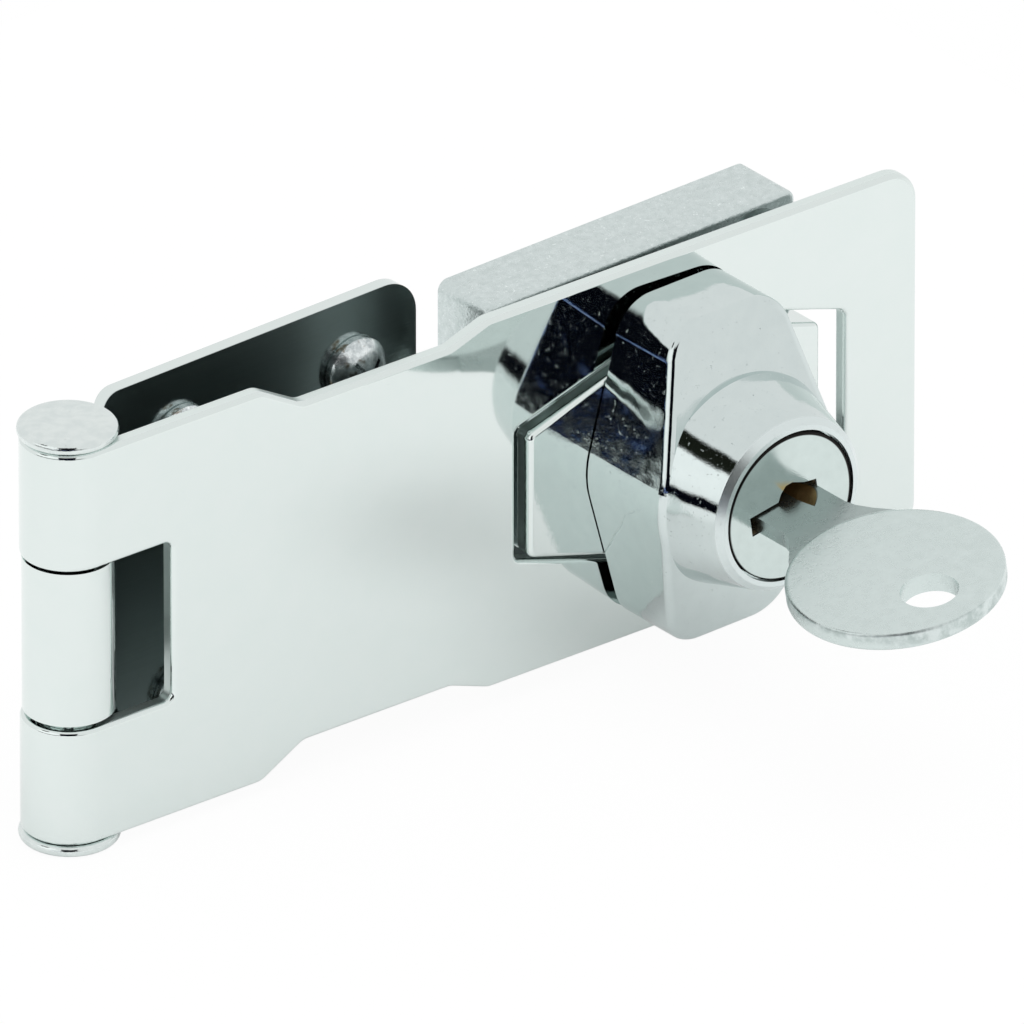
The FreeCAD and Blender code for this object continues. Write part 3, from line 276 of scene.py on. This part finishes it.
def plain_leaf_sheet(tree):
    """The fixed leaf: its knuckle is bright; its flat is darker, partly a thin plating over the brushed
    sheet and partly painted shade of the gap behind the hasp.
    """
    colour, rough, height, depth = bright_sheet(tree)
    flat = tree.along("X").between(-21.0, -19.5) * (0 - tree.along("Y")).between(1.30, 1.38)
    brushed = tree.noise(1.3, 4.0, stretch=(0.08, 1, 4))
    # the flat's dark colour is partly thin plating and partly painted shade of the gap it lies in
    thin = tree.colour(brushed * 0.6 + tree.noise(0.25, 2.0) * 0.4, PLATE_AND_PAINTED_SHADE_DULL, PLATE_AND_PAINTED_SHADE_BRIGHT)
    colour = tree.colour(flat, colour, thin)
    return colour, rough + flat * (0.04 + 0.14 * brushed), height + flat * brushed * 0.5, depth


def screw_plate(tree):
    """Screws with a dull plate, rubbed bright in spots and brown in others, partly stain and partly a
    painted reflection of the dark leaf.
    """
    rubbed = tree.noise(1.1, 5.0, rough=0.6)
    # brown patches: partly stain, partly a painted reflection of the dark leaf
    stain_and_reflection = tree.noise(0.8, 3.0).between(0.56, 0.70)
    colour = tree.colour(rubbed.between(0.3, 0.7), SCREW_DULL, SCREW_RUBBED)
    colour = tree.colour(stain_and_reflection, colour, SCREW_STAIN_AND_PAINTED_REFLECTION)
    return colour, 0.16 + 0.18 * rubbed, rubbed * 0.8, 0.05


def cap_plate(tree):
    """Bright caps with soft tumbling marks and specks."""
    marks = tree.noise(0.9, 3.0)
    specks = tree.noise(2.4, 4.0, rough=0.7).between(0.68, 0.75)
    colour = tree.colour(marks.between(0.30, 0.70), CAP_DULL, CHROME)
    return colour, 0.07 + 0.14 * marks + 0.2 * specks, marks * 1.2 - specks * 0.8, 0.05


def bright_casting(tree):
    """Plated casting: bright over its soft skin, with grains and pits, and worn satin on the nose's rim."""
    skin = tree.noise(0.22, 1.5)
    grain = tree.noise(4.5, 4.0, rough=0.65)
    pits = tree.noise(2.1, 5.0, rough=0.75).between(0.64, 0.72)
    cloud = tree.noise(0.6, 3.0)
    rim = (0 - tree.along("Y")).between(NOSE_RIM, NOSE_RIM + 0.3)
    colour = tree.colour(cloud, CAST_DULL, CAST_BRIGHT)
    colour = tree.colour(rim, colour, SATIN)
    rough = 0.03 + 0.035 * grain + 0.3 * pits + rim * (0.22 + 0.1 * grain)
    return colour, rough, skin * 2.2 + cloud * 0.1 + grain * 0.07 - pits * 0.6, 0.05


def satin_block(tree):
    """Cast block: one grained satin all over, and bright from its face forwards."""
    bright = (0 - tree.along("Y")).between(BLOCK_FACE, BLOCK_FACE + 0.3)
    grain = tree.noise(3.0, 4.0, rough=0.6)
    mottle = tree.noise(1.1, 5.0, rough=0.7).between(0.15, 0.85)
    sparks = tree.noise(2.6, 3.0, rough=0.7).between(0.62, 0.70)
    satin = tree.colour(sparks, tree.colour(mottle, SATIN_DULL, SATIN), SPARK)
    colour = tree.colour(bright, satin, tree.colour(mottle, CHROME_DEEP, CHROME))
    rough = bright * (0.03 + 0.02 * grain) + (1 - bright) * (0.20 + 0.20 * grain)
    return colour, rough, (grain * 0.9 + mottle * 0.7) * (1 - bright) + mottle * bright * 0.1, 0.05


def plug_face(tree):
    """Nickel over brass, faced on a lathe; painted shade in the gap round it, bare brass inside the keyway.
    """
    low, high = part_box("lock_plug")
    middle = [-(low[i] + high[i]) / 2 / MM for i in range(3)]
    centred = tree.node("ShaderNodeVectorMath", {"operation": "ADD"}, {0: tree.place(), 1: middle})
    rings = tree.node("ShaderNodeTexWave", {"wave_type": "RINGS", "rings_direction": "Y"}, {
        "Vector": centred, "Scale": 1.9, "Distortion": 0.8, "Detail": 2.0, "Detail Scale": 2.0})
    mottle = tree.noise(0.8, 5.0, rough=0.6)
    inside = tree.along("Y").between(low[1] / MM + 0.1, low[1] / MM + 0.3)
    # painted shade: a near-black ring at the gap round the plug, widening the gap's dark line
    gap_painted_shade = tree.away_from(X=PLUG_X, Z=PLUG_Z).between(7.16, 7.28)
    within = tree.colour(mottle, KEYWAY_DULL, KEYWAY_BRASS)
    colour = tree.colour(inside, tree.colour(mottle, NICKEL_DULL, NICKEL), within)
    colour = tree.colour(gap_painted_shade, colour, GAP_PAINTED_SHADE)
    rough = 0.09 + 0.08 * mottle + 0.42 * inside + 0.3 * gap_painted_shade
    return colour, rough, rings * 0.12 + mottle * 0.3, 0.02, 1 - 0.65 * inside * (1 - gap_painted_shade)


def key_nickel(tree):
    """Stamped key: grained nickel bow; smoother blade, darker partly by finish, partly as painted
    reflection; brass bare in its groove.
    """
    bow = tree.away_from(X=BOW_X, Y=BOW_Y)
    blade = bow.between(10.15, 10.45) * tree.along("Y").between(-39.5, -38.5)
    level, tilt = math.cos(KEY_TURN), math.sin(KEY_TURN)
    x, z = tree.along("X") - KNOB_X, tree.along("Z") - KNOB_Z
    aside, rise = level * x + tilt * z, level * z - tilt * x
    groove = (aside - 1.55).size().between(1.25, 1.15) * rise.between(0.06, 0.10) * rise.between(0.84, 0.78)
    groove = groove * blade
    mottle = tree.noise(0.8, 5.0, rough=0.65)
    speckle = tree.noise(3.2, 3.0)
    side = bow.between(10.28, 10.36) * (1 - blade)
    tumbled = tree.colour(mottle.between(0.35, 0.65), TUMBLED_DULL, TUMBLED)
    flat = tree.colour(side, tree.colour(mottle, BOW_DULL, BOW_BRIGHT), tumbled)
    # the blade's darker colour is partly a smoother finish and partly a painted reflection of the plug face
    # it mirrors
    shank = tree.colour(mottle, BLADE_FINISH_AND_PAINTED_REFLECTION_DULL, PLATE_AND_PAINTED_SHADE_BRIGHT)
    colour = tree.colour(groove, tree.colour(blade, flat, shank), tree.colour(mottle, BRASS_DULL, BRASS))
    rough = (1 - blade) * (0.2 + 0.16 * mottle + 0.1 * side) + blade * (0.24 + 0.08 * mottle) + 0.1 * groove
    return colour, rough, mottle * 0.7 + speckle * 0.3, 0.04


def zinc_plate(tree):
    """Zinc-plated steel with a faint yellow-grey mottle."""
    mottle = tree.noise(0.6, 4.0)
    return tree.colour(mottle, ZINC_DULL, ZINC), 0.28 + 0.15 * mottle, tree.noise(3.0) * 0.3, 0.03


def spring_wire(tree):
    """Bare spring steel, drawn and slightly blued."""
    drawn = tree.noise(2.0, 3.0)
    return tree.colour(drawn, STEEL_DARK, STEEL_GREY), 0.3 + 0.12 * drawn, drawn * 0.2, 0.02


def bare_brass(tree):
    """Stamped brass with darker stains."""
    stain = tree.noise(0.7, 4.0)
    return tree.colour(stain, BRASS_DULL, BRASS), 0.27 + 0.15 * stain, tree.noise(4.0) * 0.3, 0.02


SLOT_OF = {part["node"]: part["material_slot"] for part in frame["record"]["subparts"]}
SLOT_FINISH = {
    "chrome_leaf": finish("bright_sheet", bright_sheet),
    "chrome_cast": finish("bright_casting", bright_casting),
    "satin_cast": finish("satin_block", satin_block),
    "plain_steel": finish("zinc_plate", zinc_plate),
    "spring_steel": finish("spring_wire", spring_wire),
    "core_brass": finish("plug_face", plug_face),
    "wafer_brass": finish("bare_brass", bare_brass),
    "key_steel": finish("key_nickel", key_nickel),
}
NODE_FINISH = {
    "fixed_leaf": finish("plain_leaf_sheet", plain_leaf_sheet),
    "hasp_leaf": finish("slotted_sheet", slotted_sheet),
    "leaf_screws": finish("screw_plate", screw_plate),
    "hinge_pin": finish("cap_plate", cap_plate),
}
NODE_FINISH["hinge_cap"] = NODE_FINISH["hinge_pin"]
for node, solid in frame["nodes"].items():
    solid.data.materials.clear()
    solid.data.materials.append(NODE_FINISH.get(node, SLOT_FINISH[SLOT_OF[node]]))


def piece(name, mesh, node, smooth_angle=40):
    """Turn a finished bmesh into the piece that stands for a CAD node."""
    bmesh.ops.remove_doubles(mesh, verts=mesh.verts, dist=1e-6)
    bmesh.ops.recalc_face_normals(mesh, faces=mesh.faces)
    data = bpy.data.meshes.new(name)
    mesh.to_mesh(data)
    mesh.free()
    made = bpy.data.objects.new(name, data)
    bpy.context.scene.collection.objects.link(made)
    data.materials.append(NODE_FINISH.get(node, SLOT_FINISH[SLOT_OF[node]]))
    data.shade_smooth()
    data.set_sharp_from_angle(angle=math.radians(smooth_angle))
    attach(made, frame["nodes"][node]["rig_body"])
    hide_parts(node)
    return made


def helix(mesh, section, axis, pitch, turns, steps):
    """Wind a section of vertices and edges round an axis through the origin."""
    bmesh.ops.spin(mesh, geom=section, cent=(0, 0, 0), axis=axis, dvec=Vector(axis) * (pitch / steps),
                   angle=math.tau * turns, steps=steps * turns, use_merge=False)


def screw_head(mesh, radius, dome, rim):
    """Domed head with a cross recess, its top towards +Z and its underside at zero."""
    top = bmesh.ops.create_grid(mesh, x_segments=15, y_segments=15, size=1.0)["verts"]
    ball = (radius ** 2 + dome ** 2) / (2 * dome)
    for vertex in top:
        x, y = vertex.co.x, vertex.co.y
        x, y = x * math.sqrt(1 - y * y / 2) * radius, y * math.sqrt(1 - x * x / 2) * radius
        vertex.co = (x, y, rim + dome - ball + math.sqrt(ball ** 2 - x * x - y * y))
    arm, width = 0.56 * radius, 0.10 * radius
    middles = [(face, face.calc_center_median()) for face in mesh.faces]
    cross = [face for face, c in middles
             if max(abs(c.x), abs(c.y)) < arm and min(abs(c.x), abs(c.y)) < width]
    sunk = bmesh.ops.extrude_face_region(mesh, geom=cross)["geom"]
    floor_of_recess = [item for item in sunk if isinstance(item, bmesh.types.BMVert)]
    bmesh.ops.delete(mesh, geom=cross, context="FACES")
    bmesh.ops.translate(mesh, verts=floor_of_recess, vec=(0, 0, -0.55 * (dome + rim)))
    bmesh.ops.scale(mesh, verts=floor_of_recess, vec=(0.8, 0.8, 1.0))
    brim = [edge for edge in mesh.edges if edge.is_boundary]
    for drop, grow in ((0.15 * rim, 1.0), (0.7 * rim, 1.0), (0.15 * rim, 0.96)):
        brim = grown(mesh, brim, (0, 0, -drop), grow)
    return brim


def grown(mesh, edges, move, grow):
    """Extrude a loop of edges, move it, and scale it towards the Z axis; gives the new loop."""
    made = bmesh.ops.extrude_edge_only(mesh, edges=edges)["geom"]
    corners = [item for item in made if isinstance(item, bmesh.types.BMVert)]
    bmesh.ops.translate(mesh, verts=corners, vec=move)
    bmesh.ops.scale(mesh, verts=corners, vec=(grow, grow, 1.0))
    return [item for item in made if isinstance(item, bmesh.types.BMEdge) and item.is_boundary]


def threaded_shank(mesh, radius, length, pitch):
    """Thread wound below zero, with a plain neck above it and a point below it."""
    turns = int((length * 0.78) / pitch)
    neck, root, crest = 0.9 * MM, 0.72, 0.98
    corners = [mesh.verts.new((r * radius, 0, -neck - pitch * share))
               for r, share in ((root, 0.0), (root, 0.35), (crest, 0.6), (crest, 0.72), (root, 1.0))]
    section = corners + [mesh.edges.new(pair) for pair in zip(corners, corners[1:])]
    helix(mesh, section, (0, 0, -1), pitch, turns, 24)
    core = bmesh.ops.create_cone(mesh, cap_ends=False, segments=24, depth=length * 0.8,
                                 radius1=0.7 * radius, radius2=0.7 * radius)["verts"]
    bmesh.ops.translate(mesh, verts=core, vec=(0, 0, -length * 0.4))
    tip = bmesh.ops.create_cone(mesh, cap_ends=True, segments=24, depth=length * 0.22,
                                radius1=0.08 * radius, radius2=root * radius)["verts"]
    bmesh.ops.translate(mesh, verts=tip, vec=(0, 0, -length * 0.89))


def join(mesh, one):
    """Add a finished bmesh to another one."""
    joined = bpy.data.meshes.new("joined")
    one.to_mesh(joined)
    one.free()
    mesh.from_mesh(joined)
    bpy.data.meshes.remove(joined)


def four_leaf_screws():
    """Round-head screws of the fixed leaf, each with its recess turned as the driver left it."""
    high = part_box("leaf_screws")[1]
    radius, sheet, height, shank = 3.4 * MM, 1.4 * MM, 2.5 * MM, 2.1 * MM
    length, pitch, dome = 9.5 * MM, 1.5 * MM, 0.68
    along, up = high[0] - radius, high[2] - radius
    mesh = bmesh.new()
    for i, (x, z) in enumerate(((-along, -up), (-along, up), (along, -up), (along, up))):
        one = bmesh.new()
        screw_head(one, radius, dome * height, (1 - dome) * height)
        threaded_shank(one, shank, length, pitch)
        bmesh.ops.rotate(one, verts=one.verts, matrix=Matrix.Rotation(0.5 + 1.1 * i, 3, "Z"))
        bmesh.ops.rotate(one, verts=one.verts, matrix=Matrix.Rotation(math.pi / 2, 3, "X"))
        bmesh.ops.translate(one, verts=one.verts, vec=(x, -sheet, z))
        join(mesh, one)
    piece("leaf_screws_threaded", mesh, "leaf_screws")


def wound_springs():
    """Small compression springs under the wafers' ears."""
    length, radius, wire, turns = 2.7 * MM, 0.42 * MM, 0.085 * MM, 7
    mesh = bmesh.new()
    for i in range(1, 6):
        low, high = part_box(f"wafer_{i}")
        one = bmesh.new()
        ring = bmesh.ops.create_circle(one, segments=8, radius=wire)["verts"]
        bmesh.ops.rotate(one, verts=ring, matrix=Matrix.Rotation(math.pi / 2, 3, "X"))
        bmesh.ops.translate(one, verts=ring, vec=(radius - wire, 0, 0))
        start = list({item for vertex in ring for item in (vertex, *vertex.link_edges)})
        helix(one, start, (0, 0, 1), (length - 2 * wire) / turns, turns, 14)
        bmesh.ops.holes_fill(one, edges=[edge for edge in one.edges if edge.is_boundary])
        bmesh.ops.translate(one, verts=one.verts, vec=(0, 0, wire - length / 2))
        bmesh.ops.rotate(one, verts=one.verts, matrix=Matrix.Rotation(math.pi / 2 - KEY_TURN, 3, "Y"))
        bmesh.ops.translate(one, verts=one.verts, vec=(
            SPRING_X * MM, (low[1] + high[1]) / 2, SPRING_Z * MM))
        join(mesh, one)
    piece("wound_wafer_springs", mesh, "wafer_springs")


def pale_floor():
    """A small pale sheet under the lock; for the camera it fades into the white behind it."""
    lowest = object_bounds()[0][2]
    half, middle, gap = 125 * MM, 12 * MM, 0.1 * MM
    sheet = bmesh.new()
    bmesh.ops.create_grid(sheet, x_segments=1, y_segments=1, size=half)
    bmesh.ops.translate(sheet, verts=sheet.verts, vec=(middle, 0.0, lowest - gap))
    data = bpy.data.meshes.new("pale_floor")
    sheet.to_mesh(data)
    sheet.free()
    floor = bpy.data.objects.new("pale_floor", data)
    bpy.context.scene.collection.objects.link(floor)
    paper = bpy.data.materials.new("white_paper")
    tree = Tree(paper)
    seen, mirrored, through = tree.ray("Camera"), tree.ray("Glossy"), tree.ray("Transmission")
    fibre = tree.colour(tree.noise(0.02), PAPER_DULL, PAPER)
    matt = tree.node("ShaderNodeBsdfDiffuse", {}, {"Color": fibre})
    glow = tree.node("ShaderNodeEmission", {}, {"Color": (1, 1, 1, 1), "Strength": 1.0})
    shader = tree.node("ShaderNodeMixShader", {}, {
        "Fac": seen * 0.95 + (mirrored + through) * 0.25, 1: matt, 2: glow})
    tree.node("ShaderNodeOutputMaterial", {}, {"Surface": shader})
    data.materials.append(paper)
    floor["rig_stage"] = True


def light_tent():
    """White tent with a dark opening in front, a dark sill beside it, a dark seam and a thin blue gleam."""
    world = bpy.data.worlds.new("light_tent")
    bpy.context.scene.world = world
    tree = Tree(world)
    way = tree.node("ShaderNodeTexCoord", output="Generated")

    def towards(x, y, z):
        aim = Vector((x, y, z)).normalized()
        sockets = {0: way, 1: aim}
        return tree.node("ShaderNodeVectorMath", {"operation": "DOT_PRODUCT"}, sockets, output="Value")

    rise = towards(0, 0, 1)
    across = towards(math.cos(VIEW_LEFT), -math.sin(VIEW_LEFT), 0)
    front = towards(-math.sin(VIEW_LEFT), -math.cos(VIEW_LEFT), 0)
    doorway = across.size().between(0.34, 0.27) * rise.between(-0.30, -0.24) * rise.between(0.72, 0.62)
    doorway = doorway * front.between(0.0, 0.2)
    sill = rise.between(-0.20, -0.16) * rise.between(0.04, 0.0)
    sill = sill * front.between(0.25, 0.35) * across.between(0.7, 0.45)
    seam = towards(-0.702, 0.186, 0.688).between(0.985, 0.994)
    grain = tree.node("ShaderNodeTexNoise", {}, {"Vector": way, "Scale": 260.0, "Detail": 2.0})
    broken = grain.between(0.40, 0.62)
    streak = (rise + 0.25 * across + 0.105).size()
    gleam = streak.between(0.007, 0.003) * broken
    halo = streak.between(0.016, 0.004) * (0.3 + 0.7 * broken)
    brighter = towards(0.80, -0.30, -0.35).between(0.80, 1.0) * 0.1
    brighter = brighter + towards(-0.87, 0.0, 0.35).between(0.86, 0.97) * 0.25
    seen, mirrored = tree.ray("Camera"), tree.ray("Glossy")
    dark = tree.colour(halo, (0.001, 0.0015, 0.004), (0.015, 0.07, 0.65))
    dark = tree.colour(gleam, dark, (1.5, 1.9, 2.8))
    shade = tree.node("ShaderNodeMath", {"operation": "MAXIMUM"}, {0: doorway, 1: sill})
    cloth = tree.colour(mirrored * shade, (1.0, 1.0, 1.0), dark)
    cloth = tree.colour(mirrored * seam, cloth, (0.01, 0.012, 0.008))
    light = tree.node("ShaderNodeBackground", {}, {
        "Color": cloth, "Strength": seen * 0.06 + (1 - seen) * brighter + 0.94})
    tree.node("ShaderNodeOutputWorld", {}, {"Surface": light})


def soft_lamp():
    """Soft lamp overhead, for the faint shadow under the lock."""
    lamp_data = bpy.data.lights.new("soft_overhead", "AREA")
    lamp_data.shape = "DISK"
    lamp_data.size = 0.7
    lamp_data.energy = 2.4
    lamp = bpy.data.objects.new("soft_overhead", lamp_data)
    lamp.location = (0.1, -0.15, 0.9)
    lamp.rotation_euler = (lamp.location - Vector((0.02, -0.01, 0))).to_track_quat("Z", "Y").to_euler()
    lamp.visible_glossy = False
    bpy.context.scene.collection.objects.link(lamp)


def camera_of_the_photograph():
    """Long lens from the front left and above, placed from the hinge's image in the photograph."""
    hinge = Vector((BARREL_X, BARREL_Y, 0.0)) * MM
    level = math.cos(VIEW_UP)
    back = Vector((-math.sin(VIEW_LEFT) * level, -math.cos(VIEW_LEFT) * level, math.sin(VIEW_UP)))
    right = Vector((math.cos(VIEW_LEFT), -math.sin(VIEW_LEFT), 0.0))
    above = back.cross(right)
    away, pixels_per_metre, image = 4.4, 10749.0, 1024
    hinge_right, hinge_down = 68.6, 628.7
    shift_right = (image / 2 - hinge_right) / pixels_per_metre
    shift_up = (hinge_down - image / 2) / pixels_per_metre
    lens = bpy.data.cameras.new("photo_camera")
    lens.sensor_width = 36.0
    lens.lens = pixels_per_metre * away * lens.sensor_width / image
    lens.clip_end = 50.0
    taker = bpy.data.objects.new("photo_camera", lens)
    place = hinge + back * away + right * shift_right + above * shift_up
    turn = Matrix((right, above, back)).transposed().to_4x4()
    taker.matrix_world = Matrix.Translation(place) @ turn
    bpy.context.scene.collection.objects.link(taker)
    bpy.context.scene.camera = taker


four_leaf_screws()
wound_springs()
pale_floor()
light_tent()
soft_lamp()
camera_of_the_photograph()
bpy.context.scene.view_settings.view_transform = "Standard"
